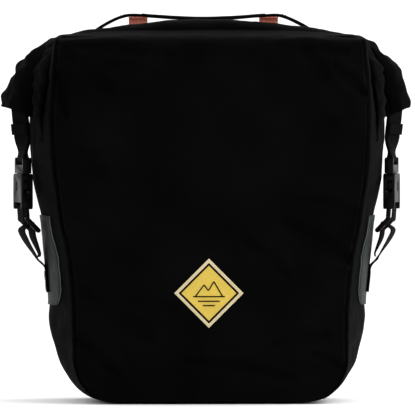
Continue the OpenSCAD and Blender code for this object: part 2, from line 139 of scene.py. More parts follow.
class Shader:
    """A material with one Principled shader, and short names for the nodes that feed it."""

    def __init__(self, name, **values):
        self.material = bpy.data.materials.new(name)
        self.material.use_nodes = True
        self.tree = self.material.node_tree
        self.bsdf = self.tree.nodes["Principled BSDF"]
        for key, value in values.items():
            self.bsdf.inputs[key.replace("_", " ").title().replace("Ior", "IOR")].default_value = value

    def node(self, kind, **settings):
        made = self.tree.nodes.new("ShaderNode" + kind)
        for key, value in settings.items():
            setattr(made, key, value)
        return made

    def link(self, source, target):
        self.tree.links.new(source, target)

    def feed(self, socket, source):
        self.link(source, self.bsdf.inputs[socket])

    def math(self, operation, a, b=None, c=None):
        made = self.node("Math", operation=operation)
        for slot, value in enumerate((a, b, c)):
            if value is None:
                continue
            if isinstance(value, (int, float)):
                made.inputs[slot].default_value = value
            else:
                self.link(value, made.inputs[slot])
        return made.outputs[0]

    def coords(self, source="Object"):
        return self.node("TexCoord").outputs[source]

    def noise(self, scale, detail=3, source="Object", stretch=(1, 1, 1)):
        mapping = self.node("Mapping")
        mapping.inputs["Scale"].default_value = stretch
        self.link(self.coords(source), mapping.inputs["Vector"])
        made = self.node("TexNoise")
        made.inputs["Scale"].default_value = scale
        made.inputs["Detail"].default_value = detail
        self.link(mapping.outputs[0], made.inputs["Vector"])
        return made.outputs["Fac"]

    def ramp(self, value, low, high, dark, light):
        made = self.node("ValToRGB")
        made.color_ramp.elements[0].position = low
        made.color_ramp.elements[1].position = high
        made.color_ramp.elements[0].color = (*dark, 1)
        made.color_ramp.elements[1].color = (*light, 1)
        self.link(value, made.inputs[0])
        return made.outputs[0]

    def mix(self, factor, a, b, blend="MIX"):
        made = self.node("Mix", data_type="RGBA", blend_type=blend)
        for slot, value in ((0, factor), (6, a), (7, b)):
            if isinstance(value, tuple):
                made.inputs[slot].default_value = (*value, 1)
            elif isinstance(value, (int, float)):
                made.inputs[slot].default_value = value
            else:
                self.link(value, made.inputs[slot])
        return made.outputs[2]

    def bumps(self, *layers):
        """Stacks bump layers, each (height, distance in metres, strength), onto the normal."""
        normal = None
        for height, distance, strength in layers:
            bump = self.node("Bump")
            bump.inputs["Distance"].default_value = distance
            bump.inputs["Strength"].default_value = strength
            self.link(height, bump.inputs["Height"])
            if normal is not None:
                self.link(normal, bump.inputs["Normal"])
            normal = bump.outputs[0]
        self.feed("Normal", normal)

    def yarns(self, weave, base, gaps):
        """Colours a cloth with base on its yarns, darkened towards the gaps between them as painted shade.
        """
        tint = self.ramp(weave, 0.0, 1.0, gaps, (1.0, 1.0, 1.0))
        self.feed("Base Color", self.mix(1.0, base, tint, "MULTIPLY"))

    def worn_roughness(self, value, amount, least):
        self.feed("Roughness", self.math("MULTIPLY_ADD", value, amount, least))

    def weave(self, pitch):
        """Plain weave over the piece's UV map, which is in metres: 0 in the gaps, 1 on the yarns."""
        split = self.node("SeparateXYZ")
        self.link(self.coords("UV"), split.inputs[0])
        turn = math.pi / pitch
        u = self.math("SINE", self.math("MULTIPLY", split.outputs[0], turn))
        v = self.math("SINE", self.math("MULTIPLY", split.outputs[1], turn))
        over = self.math("GREATER_THAN", self.math("MULTIPLY", u, v), 0)
        under = self.math("SUBTRACT", 1, over)
        return self.math("ADD", self.math("MULTIPLY", self.math("ABSOLUTE", u), over),
                         self.math("MULTIPLY", self.math("ABSOLUTE", v), under))

    def ribs(self, across, along):
        """Herringbone of a webbing: u runs across it and v along it, both in metres."""
        split = self.node("SeparateXYZ")
        self.link(self.coords("UV"), split.inputs[0])
        u, v = split.outputs[0], split.outputs[1]
        zig = self.math("PINGPONG", u, across)
        wave = self.math("SINE", self.math("MULTIPLY", self.math("ADD", v, zig), TWO_PI / along))
        return self.math("MULTIPLY_ADD", wave, 0.5, 0.5)


def shade(color, share):
    return tuple(share * c for c in color)


def black_fabric(name, tone, pitch=0.0011):
    s = Shader(name, roughness=0.78, specular_ior_level=0.012, sheen_weight=0.0015, sheen_roughness=0.4)
    weave = s.weave(pitch)
    cloud = s.noise(14, 4)
    worn = s.noise(55, 6)
    base = s.ramp(cloud, 0.3, 0.75, shade((0.55, 0.55, 0.58), tone), shade((1.35, 1.35, 1.4), tone))
    # painted shade: the weave's gaps between the yarns darkened
    s.yarns(weave, base, (0.45, 0.45, 0.46))
    s.worn_roughness(worn, 0.22, 0.66)
    s.bumps((cloud, 0.0012, 0.5), (worn, 0.0004, 0.55), (weave, 0.00022, 0.7))
    return s.material


def webbing(name, color, spec=0.05, sheen=0.02):
    s = Shader(name, roughness=0.7, specular_ior_level=spec, sheen_weight=sheen, sheen_roughness=0.4)
    ribs = s.ribs(0.0021, 0.0024)
    fuzz = s.noise(420, 2)
    dark = shade(color, 0.45)
    # painted shade: colour darker in the ribs' low places; the fuzz mixed in below is random tone
    body = s.ramp(ribs, 0.1, 0.9, dark, color)
    s.feed("Base Color", s.mix(0.25, body, s.ramp(fuzz, 0.3, 0.7, dark, color)))
    s.bumps((ribs, 0.0005, 0.8), (fuzz, 0.0002, 0.4))
    return s.material


def moulded(name, tone, rough=0.42, spec=0.5):
    s = Shader(name, roughness=rough, specular_ior_level=spec)
    grain = s.noise(900, 2)
    scuff = s.noise(60, 6)
    s.feed("Base Color", s.ramp(scuff, 0.35, 0.8, (tone * 0.8,) * 3, (tone * 1.5,) * 3))
    s.worn_roughness(scuff, 0.3, rough - 0.12)
    s.bumps((grain, 0.00012, 0.5), (scuff, 0.0002, 0.3))
    return s.material


def metal(name, color, rough, stretch=(1, 1, 1)):
    s = Shader(name, metallic=1.0, roughness=rough)
    brushed = s.noise(700, 3, stretch=stretch)
    scuff = s.noise(40, 5)
    s.feed("Base Color", s.ramp(scuff, 0.3, 0.75, shade(color, 0.7), color))
    s.worn_roughness(brushed, 0.25, rough - 0.1)
    s.bumps((brushed, 0.00008, 0.5))
    return s.material


def patch_material():
    """Grey-green coated reinforcement, with a fine leathery grain."""
    s = Shader("patch_grain", roughness=0.5, specular_ior_level=0.05)
    cells = s.node("TexVoronoi", feature="DISTANCE_TO_EDGE")
    cells.inputs["Scale"].default_value = 650
    s.link(s.coords(), cells.inputs["Vector"])
    cloud = s.noise(35, 5)
    s.feed("Base Color", s.ramp(cloud, 0.3, 0.75, (0.0020, 0.0034, 0.0026), (0.0042, 0.0066, 0.0050)))
    s.bumps((cloud, 0.0008, 0.4), (cells.outputs["Distance"], 0.0002, 0.5))
    return s.material


def thread_material(name, color, spec=0.03):
    s = Shader(name, roughness=0.6, specular_ior_level=spec)
    twist = s.noise(1500, 1, stretch=(1, 1, 3))
    s.feed("Base Color", s.ramp(twist, 0.3, 0.7, shade(color, 0.5), color))
    s.bumps((twist, 0.0001, 0.6))
    return s.material


def label_material(name, color, pitch=0.0007):
    s = Shader(name, roughness=0.6, specular_ior_level=0.3, sheen_weight=0.05)
    weave = s.weave(pitch)
    cloud = s.noise(45, 5)
    # painted shade: the weave's gaps between the yarns darkened
    s.yarns(weave, s.ramp(cloud, 0.25, 0.75, shade(color, 0.84), color), (0.72, 0.7, 0.66))
    s.bumps((cloud, 0.0005, 0.3), (weave, 0.00015, 0.6))
    return s.material


MAT = {
    "shell": black_fabric("shell_weave", 0.0018),
    "roll": black_fabric("roll_weave", 0.0017),
    "liner": label_material("liner_cloth", (0.32, 0.34, 0.36)),
    "webbing": webbing("black_webbing", (0.0019, 0.0019, 0.0021), 0.012, 0.001),
    # near-black, darker than the shell cloth: painted shade standing for the seams' dark grooves
    "seam_shade": webbing("seam_binding_painted_shade", (0.0006, 0.0006, 0.0007), 0.006, 0.0),
    "red": webbing("red_webbing", (0.97, 0.29, 0.19), 0.2, 0.2),
    "buckle": moulded("buckle_plastic", 0.0019, 0.30, 0.045),
    "hook": moulded("hook_plastic", 0.011, 0.45),
    "latch": moulded("latch_plastic", 0.035, 0.4),
    "board": moulded("board_plastic", 0.012, 0.5),
    "rail": metal("rail_anodised", (0.10, 0.105, 0.11), 0.38, (1, 1, 12)),
    "steel": metal("plated_steel", (0.56, 0.56, 0.57), 0.3),
    "patch": patch_material(),
    # far lighter than the patch's face: painted highlight along the patch's rim
    "patch_rim_highlight": thread_material("patch_rim_painted_highlight", (0.10, 0.12, 0.11)),
    "thread": thread_material("black_thread", (0.0035, 0.0035, 0.0038)),
    "pale_thread": thread_material("grey_thread", (0.060, 0.070, 0.066)),
    "label": label_material("label_yellow", (0.64, 0.46, 0.060)),
    "label_edge": label_material("label_edge_cream", (0.66, 0.56, 0.34)),
    "label_ink": thread_material("label_dark_thread", (0.0085, 0.0035, 0.002)),
}


# ---- mesh helpers

def add_object(name, data):
    made = bpy.data.objects.new(name, data)
    bpy.context.scene.collection.objects.link(made)
    return made


def shade_smooth(mesh):
    mesh.polygons.foreach_set("use_smooth", [True] * len(mesh.polygons))


def new_mesh(name, verts, faces, material, uvs=None):
    """An object from points in metres; uvs holds one (u, v) for each point, in metres."""
    mesh = bpy.data.meshes.new(name)
    mesh.from_pydata([tuple(v) for v in verts], [], faces)
    mesh.materials.append(material)
    if uvs:
        layer = mesh.uv_layers.new(name="UVMap")
        for loop in mesh.loops:
            layer.data[loop.index].uv = uvs[loop.vertex_index]
    shade_smooth(mesh)
    return add_object(name, mesh)


def apply_all(piece):
    """Bakes a piece's modifiers into its mesh."""
    bpy.context.view_layer.update()
    done = piece.evaluated_get(bpy.context.evaluated_depsgraph_get())
    mesh = bpy.data.meshes.new_from_object(done)
    piece.modifiers.clear()
    piece.data = mesh
    return piece


def modifier(piece, kind, **settings):
    made = piece.modifiers.new(kind.title(), kind)
    for key, value in settings.items():
        setattr(made, key, value)
    return made


def place(piece, body, slot, *replaced):
    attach(piece, body)
    if replaced:
        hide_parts(*replaced)
    return piece


def grid_faces(rows, columns, closed=False):
    """Faces of a grid of points given row by row; closed joins each row's end to its start."""
    span = columns if closed else columns - 1
    return [(r * columns + c, r * columns + (c + 1) % columns,
             (r + 1) * columns + (c + 1) % columns, (r + 1) * columns + c)
            for r in range(rows - 1) for c in range(span)]


def turned(faces, needed):
    """Faces with their outer sides swapped, where that's needed."""
    return [tuple(reversed(face)) for face in faces] if needed else faces


def tube_faces(rows, ring, base=0):
    """Faces of a tube of rings, closed at both ends, whose points start at number base."""
    ends = [tuple(reversed(range(ring))), tuple(range((rows - 1) * ring, rows * ring))]
    return [tuple(base + i for i in face) for face in grid_faces(rows, ring, closed=True) + ends]


def frames(path, side):
    """(point, side, normal) along a path; side is the direction of a band's width, one or a list."""
    out = []
    for i, p in enumerate(path):
        tangent = (path[min(i + 1, len(path) - 1)] - path[max(i - 1, 0)]).normalized()
        across = side[i] if isinstance(side, list) else side
        across = (across - tangent * across.dot(tangent)).normalized()
        out.append((p, across, across.cross(tangent).normalized()))
    return out


BAND_ACROSS = [-1, -0.97, -0.86, -0.6, -0.3, 0, 0.3, 0.6, 0.86, 0.97, 1]    # places over half the width


def band_section(half_w, half_t):
    """Outline (width, thickness) of a woven band, with rounded edges."""
    def height(a):
        if abs(a) < 0.95:
            return half_t
        return half_t - 0.9 * half_t * (0.35 if abs(a) < 1 else 1)

    return ([(a * half_w, height(a)) for a in BAND_ACROSS]
            + [(a * half_w, -height(a)) for a in reversed(BAND_ACROSS)])


def band(name, path, width, thick, side, material, closed=False, wobble=0.0):
    """A woven band that follows a path of points. Width, thickness and wobble are in millimetres."""
    half_w = width * MM / 2
    section = band_section(half_w, thick * MM / 2)
    verts, uvs, run = [], [], 0.0
    for i, (p, wide, normal) in enumerate(frames(path, side)):
        run += (p - path[i - 1]).length if i else 0
        for u, n in section:
            lift = wobble * MM * noise.noise(Vector((p.x * 60, u * 90, p.z * 60)))
            verts.append(p + wide * u + normal * (n + lift))
            uvs.append((u + half_w, run))
    rows, ring = len(path), len(section)
    if closed:
        last = (rows - 1) * ring
        faces = grid_faces(rows, ring, closed=True)
        faces += [(last + c, last + (c + 1) % ring, (c + 1) % ring, c) for c in range(ring)]
    else:
        faces = tube_faces(rows, ring)
    return new_mesh(name, verts, faces, material, uvs)


STITCH_RING = 6
STITCH_SHAPE = [(-1, 0.25), (-0.8, 0.8), (0, 1.0), (0.8, 0.8), (1, 0.25)]    # place along it, thickness


def thread_runs(name, runs, material, pitch=3.2, length=2.3, radius=0.28):
    """Sewn stitches along lines of (point, normal) pairs, as one object. Sizes in millimetres."""
    sink = 0.06
    verts, faces = [], []
    for run in runs:
        run = [pair for pair in run if pair]
        points = [p for p, _ in run]
        total = sum((b - a).length for a, b in zip(points, points[1:]))
        count = max(2, int(total / (pitch * MM)))
        even, normals = resample(points, count), resample([n for _, n in run], count)
        for a, b, normal in zip(even, even[1:], normals):
            along = (b - a).normalized()
            normal = normal.normalized()
            side = normal.cross(along).normalized()
            centre = (a + b) / 2 - normal * sink * MM
            faces += tube_faces(len(STITCH_SHAPE), STITCH_RING, len(verts))
            for t, fat in STITCH_SHAPE:
                for k in range(STITCH_RING):
                    turn = TWO_PI * k / STITCH_RING
                    verts.append(centre + along * (t * length * MM / 2)
                                 + side * math.cos(turn) * radius * MM * fat
                                 + normal * math.sin(turn) * radius * MM * fat)
    return new_mesh(name, verts, faces, material)


def surface_of(piece):
    """Nearest-point lookup on a piece's surface."""
    bpy.context.view_layer.update()
    return BVHTree.FromObject(piece, bpy.context.evaluated_depsgraph_get())


def on_surface(tree, start, direction, lift=0.0):
    """(point, normal) where a ray meets a surface, lifted off it, or None."""
    hit, normal, _, _ = tree.ray_cast(start, direction)
    if hit is None:
        return None
    if normal.dot(direction) > 0:
        normal = -normal
    return hit + normal * lift, normal


def refined(node, material, width=0.6):
    """A copy of a CAD node's solid with its hard edges rounded, which stands for the node."""
    mesh = nodes[node].data.copy()
    mesh.materials.clear()
    mesh.materials.append(material)
    work = bmesh.new()
    work.from_mesh(mesh)
    bmesh.ops.remove_doubles(work, verts=work.verts, dist=2e-5)
    bmesh.ops.dissolve_limit(work, angle_limit=math.radians(3), verts=work.verts, edges=work.edges)
    work.to_mesh(mesh)
    work.free()
    piece = add_object(node + "_moulded", mesh)
    modifier(piece, "BEVEL", width=width * MM, segments=2, limit_method="ANGLE",
             angle_limit=math.radians(32), use_clamp_overlap=True, harden_normals=False)
    apply_all(piece)
    shade_smooth(piece.data)
    piece.data.set_sharp_from_angle(angle=math.radians(40))
    return piece


# ---- stage, camera and light

VIEW_AZIMUTH = math.radians(-2.6)
VIEW_ELEVATION = math.radians(1.2)
VIEW_DISTANCE = 8.0
FRAME_WIDTH = 427.5 * MM      # width seen at the bag's middle
AIM = mm(0, 0, 199.5)
FLOOR_HALF = 12               # metres
SKY_STRENGTH = 1.2
LIGHTS = [      # name, place in metres, aim in millimetres, size in metres, watts
    ("key", (1.5, -1.3, 1.7), (60, 0, 220), (1.8, 1.8), 24),
    ("rim_right", (1.5, 0.6, 0.7), (120, 0, 220), (0.5, 1.2), 14),
    ("rim_left", (-1.6, 0.35, 0.9), (-120, 0, 220), (0.5, 1.0), 2.5),
    ("top", (0.1, 0.1, 2.0), (0, 0, 300), (1.0, 1.0), 4),
]


def point_at(made, at, direction):
    """Puts a camera or light at a point, looking along a direction."""
    made.location = at
    made.rotation_mode = "QUATERNION"
    made.rotation_quaternion = direction.to_track_quat("-Z", "Y")


def make_camera():
    data = bpy.data.cameras.new("camera")
    data.sensor_width = 36
    data.lens = data.sensor_width * VIEW_DISTANCE / FRAME_WIDTH
    camera = add_object("camera", data)
    back = Vector((math.sin(VIEW_AZIMUTH) * math.cos(VIEW_ELEVATION),
                   -math.cos(VIEW_AZIMUTH) * math.cos(VIEW_ELEVATION), math.sin(VIEW_ELEVATION)))
    point_at(camera, AIM + back * VIEW_DISTANCE, -back)
    bpy.context.scene.camera = camera


def area_light(name, place_at, aim, size, watts):
    data = bpy.data.lights.new(name, "AREA")
    data.shape = "RECTANGLE"
    data.size, data.size_y = size
    data.energy = watts
    point_at(add_object(name, data), Vector(place_at), mm(*aim) - Vector(place_at))


def make_stage():
    half = FLOOR_HALF
    white = Shader("floor_white", base_color=(0.92, 0.92, 0.92, 1), roughness=0.9, specular_ior_level=0.0)
    new_mesh("floor", [(-half, -half, 0), (half, -half, 0), (half, half, 0), (-half, half, 0)],
                      [(0, 1, 2, 3)], white.material)
    world = bpy.data.worlds.new("studio")
    world.use_nodes = True
    sky = world.node_tree.nodes["Background"].inputs
    sky["Color"].default_value = (1, 1, 1, 1)
    sky["Strength"].default_value = SKY_STRENGTH
    bpy.context.scene.world = world
    bpy.context.scene.view_settings.view_transform = "Standard"
    for light in LIGHTS:
        area_light(*light)


make_camera()
make_stage()


# ---- bag shell

ARC_ROWS = 9
BODY_ROWS = 48
FOLD_ROWS = 10
FRONT_SEAM_Y = -73
BACK_SEAM_Y = 77
FRONT_BULGE = 8.5
BACK_BULGE = 2.6
NECK_HALF = 22          # half depth of the mouth where it goes into the roll
NECK_RISE = 15.5        # rise of the panels' top fold at the middle, and how much less it is at the ends
NECK_FALL = 6
FOLD_R = 15             # corner of that fold
FOLD_BEND = 0.45        # share of the fold's rows in the corner, and its share of the rise
BEND_RISE = 0.62


def spread(count, gather):
    """count places from -1 to 1, closer together near the ends."""
    return [math.copysign(1 - (1 - abs(t)) ** gather, t)
            for t in (2 * i / (count - 1) - 1 for i in range(count))]


ACROSS = spread(61, 1.35)                               # places across the front and back panels
AROUND = [(t + 1) / 2 for t in spread(29, 1.25)]        # places from the front seam to the back seam
ROWS = ([("arc", -90 + 90 * i / ARC_ROWS) for i in range(ARC_ROWS)]
        + [("body", LOW_Z + (FOLD_Z - LOW_Z) * i / BODY_ROWS) for i in range(BODY_ROWS + 1)]
        + [("fold", (i + 1) / FOLD_ROWS) for i in range(FOLD_ROWS)])


def edge_place(row, table, radius, lift):
    """(half width, height) of one of the bag's long lines at a row."""
    kind, value = row
    half = table[0][1]
    if kind == "arc":
        turn = math.radians(value)
        return half - radius + radius * math.cos(turn), lift + (LOW_Z - lift) * (1 + math.sin(turn))
    z = value if kind == "body" else FOLD_Z
    return soft_lookup(z, table) if z < FOLD_Z - 1 else table[-1][1], z


def fold_depth(g, seam_y):
    """(y, share of the rise) of a panel as it turns over its top edge and runs to the roll."""
    sign = -1 if seam_y < 0 else 1
    if g < FOLD_BEND:
        turn = g / FOLD_BEND * math.pi / 2
        return seam_y - sign * FOLD_R * (1 - math.cos(turn)), BEND_RISE * math.sin(turn)
    run = (g - FOLD_BEND) / (1 - FOLD_BEND)
    start = seam_y - sign * FOLD_R
    return start + (sign * NECK_HALF - start) * run, BEND_RISE + (1 - BEND_RISE) * run


def fold_share(row):
    """How far a row is over the top fold, from 0 below it to 1 at the roll."""
    return row[1] if row[0] == "fold" else 0


def panel_point(row, u, front):
    """A point of the front or back panel; u runs from -1 to 1 between its seams."""
    half, z = edge_place(row, *SEAM_LINES[front], SEAM_LIFT)
    g = fold_share(row)
    y, rise = fold_depth(g, FRONT_SEAM_Y if front else BACK_SEAM_Y)
    z += rise * (NECK_RISE - NECK_FALL * abs(u) ** 2.4)
    half -= 9 * smooth(g)
    low = 0.35 + 0.65 * smooth((z - 5) / 90)
    bulge = (FRONT_BULGE if front else BACK_BULGE) * (1 - abs(u) ** 3.2) * low * (1 - smooth(g * 1.6))
    return Vector((u * half, y - bulge if front else y + bulge, z))


def band_point(row, side, t):
    """A point of the gusset; t runs from the front seam to the back seam."""
    front, back = panel_point(row, side, True), panel_point(row, side, False)
    half, z = edge_place(row, SIDE_PROFILE, CORNER_R, 0)
    g = fold_share(row)
    middle = Vector((side * (half - 15 * smooth(g)), 0, z + 9 * smooth(g)))
    swell = math.sin(math.pi * t) ** (1 if g else 0.95)
    between = front.lerp(back, 0.5)
    return front.lerp(back, t) + Vector((middle.x - between.x, 0, middle.z - between.z)) * swell


def base_point(u, t):
    """A point of the flat base, between the bottom seams."""
    front, back = panel_point(ROWS[0], u, True), panel_point(ROWS[0], u, False)
    swell = math.sin(math.pi * t) ** 0.75
    middle_x = u * edge_place(ROWS[0], SIDE_PROFILE, CORNER_R, 0)[0]
    between = front.lerp(back, 0.5)
    return front.lerp(back, t) + Vector((middle_x - between.x, 0, -between.z)) * swell


def shell_grids():
    """The shell as separate grids of points; each is a list of rows."""
    yield [[panel_point(row, u, True) for u in ACROSS] for row in ROWS]
    yield [[panel_point(row, u, False) for u in reversed(ACROSS)] for row in ROWS]
    yield [[band_point(row, 1, t) for t in AROUND] for row in ROWS]
    yield [[band_point(row, -1, t) for t in reversed(AROUND)] for row in ROWS]
    yield [[base_point(u, t) for u in ACROSS] for t in reversed(AROUND)]
    last = ROWS[-1]
    mouth = []
    for t in AROUND:
        line = [panel_point(last, u, True).lerp(panel_point(last, u, False), t) for u in ACROSS]
        line[0], line[-1] = band_point(last, -1, t), band_point(last, 1, t)
        mouth.append(line)
    yield mouth


def build_shell():
    verts, faces, uvs = [], [], []
    for grid in shell_grids():
        base, columns = len(verts), len(grid[0])
        up = 0.0
        for r, line in enumerate(grid):
            up += (line[columns // 2] - grid[r - 1][columns // 2]).length if r else 0
            run = [0.0]
            for a, b in zip(line, line[1:]):
                run.append(run[-1] + (b - a).length)
            for p, s in zip(line, run):
                verts.append(p * MM)
                uvs.append(((s - run[-1] / 2) * MM, up * MM))
        faces += [tuple(base + i for i in f) for f in grid_faces(len(grid), columns)]
    shell = new_mesh("bag_shell", verts, faces, MAT["shell"], uvs)
    work = bmesh.new()
    work.from_mesh(shell.data)
    bmesh.ops.remove_doubles(work, verts=work.verts, dist=1e-5)
    bmesh.ops.recalc_face_normals(work, faces=work.faces)
    work.to_mesh(shell.data)
    work.free()
    return shell


def looseness(p):
    """How free the cloth is at a point of the shell, from 0, held, to 1."""
    x, y, z = abs(p.x) / MM, p.y / MM, p.z / MM
    if y > 60 or z < 3 or z > FOLD_Z + 4:
        return 0.0
    low = smooth((z - 6) / 40)
    if y < FRONT_SEAM_Y - 0.5:
        edge = (soft_lookup(z, FRONT_SEAM) - x) / 22
        return low * smooth(edge) * smooth((FOLD_Z + 4 - z) / 26)
    away = min(y - FRONT_SEAM_Y, BACK_SEAM_Y - y) / 26
    return 0.9 * low * smooth(away) * smooth((FOLD_Z - z) / 30)


def reach(p):
    """How far, in millimetres, the cloth may move at a point: little behind the side hardware."""
    y, z = p.y / MM, p.z / MM
    if y < FRONT_SEAM_Y:
        return 7.0
    behind_hardware = smooth((58 - abs(y)) / 18) * smooth((z - 85) / 20)
    return 4.5 - 3.9 * behind_hardware


CLOTH = {"quality": 5, "mass": 0.35, "tension_stiffness": 18, "compression_stiffness": 18,
         "shear_stiffness": 6, "bending_stiffness": 1.1, "vertex_group_mass": "hold", "shrink_min": -0.018,
         "use_pressure": True, "uniform_pressure_force": 0.6}
CLOTH_FRAMES = 26


def settle_cloth(shell):
    """Lets the slack cloth of the panels buckle and fill out, then keeps the result."""
    start = [v.co.copy() for v in shell.data.vertices]
    hold = shell.vertex_groups.new(name="hold")
    for v in shell.data.vertices:
        hold.add([v.index], 1 - looseness(v.co), "REPLACE")
    cloth = modifier(shell, "CLOTH")
    for key, value in CLOTH.items():
        setattr(cloth.settings, key, value)
    cloth.settings.effector_weights.gravity = 0
    for timed in (bpy.context.scene, cloth.point_cache):
        timed.frame_start, timed.frame_end = 1, CLOTH_FRAMES
    for i in range(1, CLOTH_FRAMES + 1):
        bpy.context.scene.frame_set(i)
    apply_all(shell)
    for v, before in zip(shell.data.vertices, start):
        move = v.co - before
        most = reach(before) * MM
        if move.length > most:
            move *= most / move.length
        v.co = before + move
    shell.vertex_groups.clear()


def dip(away, width):
    """A smooth furrow: 1 at its line, fading over width to both sides."""
    return math.exp(-(away / width) ** 2)


# Soft folds pressed into the cloth: (x, z) of both ends, depth and half width, in millimetres
FRONT_FOLDS = [
    ((-158, 338), (-148, 296), 3.2, 5), ((-150, 360), (-104, 322), 2.6, 7),
    ((-150, 366), (-44, 358), 2.2, 5), ((-128, 350), (-60, 340), 1.6, 7), ((126, 346), (156, 318), 3.4, 6),
    ((96, 360), (142, 296), 2.8, 10), ((70, 366), (138, 360), 2.0, 5), ((74, 186), (140, 148), 3.4, 9),
    ((36, 166), (76, 132), 2.4, 8), ((92, 208), (146, 196), 2.0, 8), ((104, 52), (140, 34), 3.0, 5),
    ((66, 60), (118, 70), 2.0, 8), ((-128, 112), (-66, 66), 2.8, 12), ((-136, 66), (-96, 30), 2.6, 7),
    ((-84, 104), (-40, 96), 1.8, 8), ((-60, 352), (40, 358), 1.4, 6), ((-26, 44), (84, 26), 2.0, 7),
    ((-138, 190), (-104, 176), 1.8, 7), ((-146, 262), (-112, 236), 1.8, 9),
]


def fold_depth_at(x, z):
    """Depth of the pressed folds at a place on the front panel, in millimetres."""
    total = 0.0
    for (x0, z0), (x1, z1), depth, half in FRONT_FOLDS:
        dx, dz = x1 - x0, z1 - z0
        t = min(1, max(0, ((x - x0) * dx + (z - z0) * dz) / (dx * dx + dz * dz)))
        away = math.hypot(x - x0 - t * dx, z - z0 - t * dz)
        width = half * (1 - 0.45 * abs(2 * t - 1))      # narrower towards its ends
        total += depth * (dip(away, width) - 0.45 * dip(away - 1.9 * width, width))
    return total


BEHIND_BUCKLE_X = 180.0     # the gusset stays inside this behind the side buckles
BEHIND_BUCKLE_Y = 30


def seam_gap(x, y, z, front):
    """Distance across the shell from the front or back seam, in millimetres."""
    seam_y = FRONT_SEAM_Y if front else BACK_SEAM_Y
    return math.hypot(y - seam_y, (abs(x) - soft_lookup(z, SEAM_LINES[front][0])) * 0.9)


def pressed_depth(x, y, z):
    """Depth of folds and seam grooves at a place on the shell, in millimetres."""
    depth = 0.0
    if y < FRONT_SEAM_Y - 0.2 and z < FOLD_Z + 6:
        depth += 1.5 * fold_depth_at(x, z)
    if LOW_Z - 3 < z < FOLD_Z + 2:
        gap = seam_gap(x, y, z, True)
        depth += 3.0 * dip(gap, 2.0) - 0.25 * dip(gap - 5.5, 2.8)
        depth += 1.6 * dip(seam_gap(x, y, z, False), 2.4)
    if FRONT_SEAM_Y + 4 < y < 60 and z < FOLD_Z + 8:        # long soft folds of the gussets
        depth += 9 * dip(y + 44, 9) * smooth((z - 280) / 45)
        depth += 2.2 * dip(y + 24 + (z - 262) * 0.7, 5) * smooth((40 - abs(z - 262)) / 20)
        depth += 1.8 * dip(z - 236 - 0.35 * y, 6) * smooth((-y - 18) / 14)
    return depth


def press_details(shell):
    """Seam grooves, pressed folds and the fine unevenness of coated cloth."""
    mesh = shell.data
    normals = [v.normal.copy() for v in mesh.vertices]
    for v, normal in zip(mesh.vertices, normals):
        x, y, z = (c / MM for c in v.co)
        ripple = (0.55 * noise.noise(Vector((x, y, z)) * 0.028)
                  + 0.28 * noise.noise(Vector((x, y * 1.3, z)) * 0.075))
        free = smooth((z - 1.5) / 12) * (1 if y < 70 else 0.25)
        v.co -= normal * (pressed_depth(x, y, z) * min(1, free * 1.2) - ripple * free) * MM
        if abs(y) < BEHIND_BUCKLE_Y and 175 < z < 312:
            most = BEHIND_BUCKLE_X + 6 * smooth((abs(y) - 15) / (BEHIND_BUCKLE_Y - 15))
            v.co.x = math.copysign(min(abs(v.co.x), most * MM), x)


def make_shell():
    shell = build_shell()
    settle_cloth(shell)
    modifier(shell, "SUBSURF", levels=1, render_levels=1)
    apply_all(shell)
    press_details(shell)
    for v in shell.data.vertices:
        v.co.z = max(v.co.z, 0.4 * MM)
    place(shell, "shell", "shell_fabric",
          "front_panel", "back_panel", "left_gusset", "right_gusset", "base_panel")
    return shell


shell = make_shell()
shell_surface = surface_of(shell)
OUTSIDE = 230           # millimetres, from where rays to the shell start


def on_side(side, y, z, lift):
    """(point, normal) on a gusset, lifted off it in millimetres."""
    return on_surface(shell_surface, mm(side * OUTSIDE, y, z), Vector((-side, 0, 0)), lift * MM)


def on_panel(x, z, lift, facing=-1):
    """The same on the front panel, or on the back panel where facing is 1."""
    return on_surface(shell_surface, mm(x, facing * OUTSIDE, z), -facing * ALONG_Y, lift * MM)


def make_liner():
    """The slack waterproof liner inside, open under the roll."""
    inset = 11
    across, around = ACROSS[::3], AROUND[2:-2:3]
    lines = []
    for row in [r for r in ROWS if r[0] != "fold"]:
        ring = ([panel_point(row, u, True) for u in across] + [band_point(row, 1, t) for t in around]
                + [panel_point(row, u, False) for u in reversed(across)]
                + [band_point(row, -1, t) for t in reversed(around)])
        line = []
        for p in ring:
            share = 1 - inset / max(40, math.hypot(p.x, p.y))
            line.append(mm(p.x * share, p.y * (0.84 if p.y < 0 else 0.76), p.z * 0.95 + 14))
        lines.append(line)
    count = len(lines[0])
    verts = [p for line in lines for p in line]
    faces = grid_faces(len(lines), count, closed=True) + [tuple(reversed(range(count)))]
    liner = new_mesh("liner_bag", verts, faces, MAT["liner"], [(v.x + v.y, v.z) for v in verts])
    modifier(liner, "SOLIDIFY", thickness=0.8 * MM, offset=1)
    apply_all(liner)
    place(liner, "shell", "liner_fabric", "inner_liner")


make_liner()


# ---- rolled mouth

ROLL_LINE = [(0, 382.3), (40, 381.0), (85, 376.0), (126, 370.5), (150, 364.5), (167, 355.5), (178.5, 342),
             (187, 325), (191.5, 311), (193.5, WING_Z + 0.8)]
ROLL_PLACES = 211       # points along the roll, and round its spiral
ROLL_ROUND = 151
ROLL_TURNS = 3.15
ROLL_START = 0.55 * math.pi
ROLL_HALF_T = 12.4
ROLL_CORE = 0.30        # size of the innermost turn, as a share of the outer one
LAYER_T = 1.25
WING_END = 180          # distance from the middle, along the roll, where the rolled ends step out
LEFT_STEP, RIGHT_STEP = 3.2, 1.4


def roll_path():
    right = [Vector((x, 0, z)) for x, z in ROLL_LINE]
    left = [Vector((-x + 0.8, 0, z)) for x, z in reversed(ROLL_LINE[1:])]
    return spline(left + right, ROLL_PLACES)


def noise_at(x, y, z):
    return noise.noise(Vector((x, y, z)))


